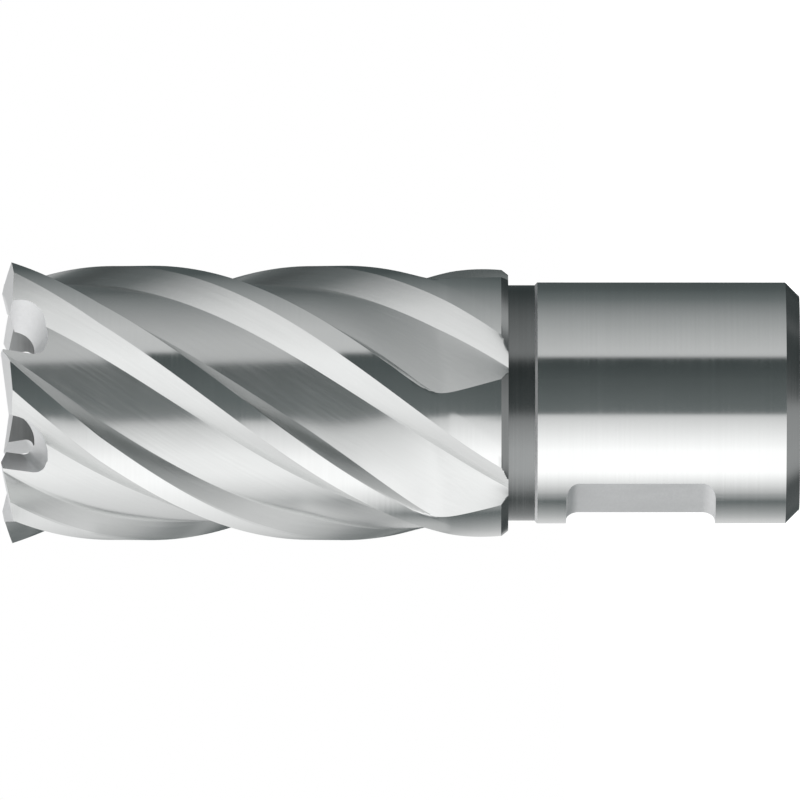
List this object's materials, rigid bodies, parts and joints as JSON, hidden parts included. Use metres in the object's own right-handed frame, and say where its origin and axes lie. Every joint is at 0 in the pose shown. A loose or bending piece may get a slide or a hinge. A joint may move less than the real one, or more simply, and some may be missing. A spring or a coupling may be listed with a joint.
{
  "type": "annular cutter",
  "caption": "Hollow fluted hole cutter with helical flutes, ground teeth at the rim, a slug bore, a pilot pin bore and a straight clamping shank with side flats.",
  "frame": {"origin": "centre of the shank's end face, on the cutter's axis", "axes": "+Z along the cutter's axis from the shank end to the teeth"},
  "size_m": [0.0222, 0.0226, 0.063],
  "materials": {
    "ground_steel": "fine-ground high-speed steel, bright on the shank and lands, satin in the flutes"
  },
  "bodies": {
    "root": {"cutter_body": "ground_steel"}
  },
  "joints": []
}
